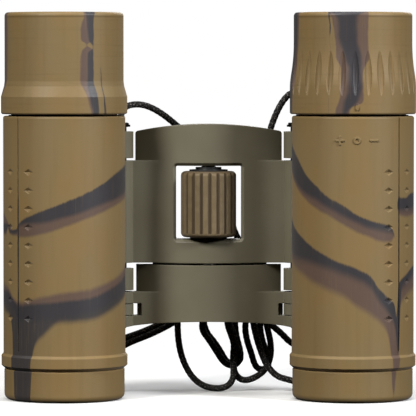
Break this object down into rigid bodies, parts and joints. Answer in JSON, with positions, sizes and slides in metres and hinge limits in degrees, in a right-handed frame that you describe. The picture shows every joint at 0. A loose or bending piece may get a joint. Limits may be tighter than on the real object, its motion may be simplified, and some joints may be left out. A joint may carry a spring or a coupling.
{
  "type": "binoculars",
  "caption": "Compact folding binoculars: rubber-armoured roof-prism barrels hinged to an arched bridge with a ribbed focus wheel, sliding focus yoke, dioptre ring and braided neck cord.",
  "frame": {"origin": "on the surface that the objective rims stand on, midway between the two optical axes", "axes": "+Z along the optical axes from objectives to eyepieces, +X from the plain eyepiece to the dioptre eyepiece, +Y towards the side that faces up in use"},
  "size_m": [0.1016, 0.0423, 0.0947],
  "materials": {
    "camo_rubber": "matt tan rubber with brushed black and brown streaks",
    "olive_plastic": "satin olive moulded plastic",
    "black_plastic": "black",
    "black_metal": "black",
    "black_rubber": "matt black",
    "bearing_brass": "turned",
    "spring_steel": "turned",
    "cell_aluminium": "black anodised",
    "lens_glass": "coated optical glass",
    "prism_glass": "optical glass",
    "braided_cord": "black braid"
  },
  "bodies": {
    "bridge": {"bridge_frame": "olive_plastic", "bridge_top_cover": "olive_plastic", "cover_screws": "black_metal", "upper_wheel_bush": "bearing_brass", "lower_wheel_bush": "bearing_brass", "left_hinge_pin": "black_metal", "right_hinge_pin": "black_metal", "left_strap_eyelet": "black_metal", "right_strap_eyelet": "black_metal", "strap_cord_left_lead": "braided_cord", "strap_cord_right_lead": "braided_cord", "strap_cord_hank": "braided_cord", "strap_cord_loops": "braided_cord", "strap_tie": "black_rubber"},
    "focus_wheel": {"focus_wheel_grip": "camo_rubber", "focus_wheel_hub": "black_plastic", "focus_spindle": "spring_steel"},
    "yoke": {"focus_yoke": "olive_plastic", "focus_nut": "bearing_brass", "yoke_pins": "black_metal"},
    "left_barrel": {"left_barrel_tube": "olive_plastic", "left_armour": "camo_rubber", "left_objective_ring": "camo_rubber", "left_light_baffle": "black_plastic", "left_prism_cage": "black_plastic", "left_half_penta_prism": "prism_glass", "left_roof_prism": "prism_glass", "left_prism_clip": "spring_steel", "left_eyepiece_tube": "black_plastic", "left_field_lens": "lens_glass", "left_lens_spacer": "black_plastic", "left_eye_lens": "lens_glass", "left_eye_lens_ring": "black_plastic", "left_eyepiece_collar": "black_plastic", "left_eyecup": "camo_rubber"},
    "right_barrel": {"right_barrel_tube": "olive_plastic", "right_armour": "camo_rubber", "right_objective_ring": "camo_rubber", "right_light_baffle": "black_plastic", "right_prism_cage": "black_plastic", "right_half_penta_prism": "prism_glass", "right_roof_prism": "prism_glass", "right_prism_clip": "spring_steel"},
    "diopter": {"diopter_ring": "black_plastic", "right_eyecup": "camo_rubber"},
    "right_eyepiece": {"right_eyepiece_tube": "black_plastic", "right_field_lens": "lens_glass", "right_lens_spacer": "black_plastic", "right_eye_lens": "lens_glass", "right_eye_lens_ring": "black_plastic"},
    "left_cell": {"left_lens_cell": "cell_aluminium", "left_objective_crown": "lens_glass", "left_objective_flint": "lens_glass", "left_objective_lens_ring": "black_plastic"},
    "right_cell": {"right_lens_cell": "cell_aluminium", "right_objective_crown": "lens_glass", "right_objective_flint": "lens_glass", "right_objective_lens_ring": "black_plastic"}
  },
  "joints": [
    {"name": "left_hinge", "type": "hinge", "parent": "bridge", "child": "left_barrel", "pos_m": [-0.0215, 0.01, 0.048], "axis": [0, 0, 1], "range_deg": [0, 67]},
    {"name": "right_hinge", "type": "hinge", "parent": "bridge", "child": "right_barrel", "pos_m": [0.0215, 0.01, 0.048], "axis": [0, 0, 1], "range_deg": [-67, 0]},
    {"name": "focus_turn", "type": "hinge", "parent": "bridge", "child": "focus_wheel", "pos_m": [0, 0.0087, 0.049], "axis": [0, 0, 1], "range_deg": [0, 480]},
    {"name": "yoke_slide", "type": "slide", "parent": "bridge", "child": "yoke", "axis": [0, 0, 1], "range_m": [-0.0032, 0]},
    {"name": "left_cell_slide", "type": "slide", "parent": "left_barrel", "child": "left_cell", "axis": [0, 0, 1], "range_m": [-0.0032, 0]},
    {"name": "right_cell_slide", "type": "slide", "parent": "right_barrel", "child": "right_cell", "axis": [0, 0, 1], "range_m": [-0.0032, 0]},
    {"name": "diopter_turn", "type": "hinge", "parent": "right_barrel", "child": "diopter", "pos_m": [0.03535, 0, 0.08], "axis": [0, 0, 1], "range_deg": [-20, 20]},
    {"name": "eyepiece_slide", "type": "slide", "parent": "right_barrel", "child": "right_eyepiece", "axis": [0, 0, 1], "range_m": [-0.0006, 0.0006]}
  ],
  "couplings": [
    {"joint": "focus_turn", "follows": "yoke_slide", "rad_per_m": -2618},
    {"joint": "left_cell_slide", "follows": "yoke_slide", "ratio": 1},
    {"joint": "right_cell_slide", "follows": "yoke_slide", "ratio": 1},
    {"joint": "eyepiece_slide", "follows": "diopter_turn", "m_per_rad": 0.0017}
  ]
}
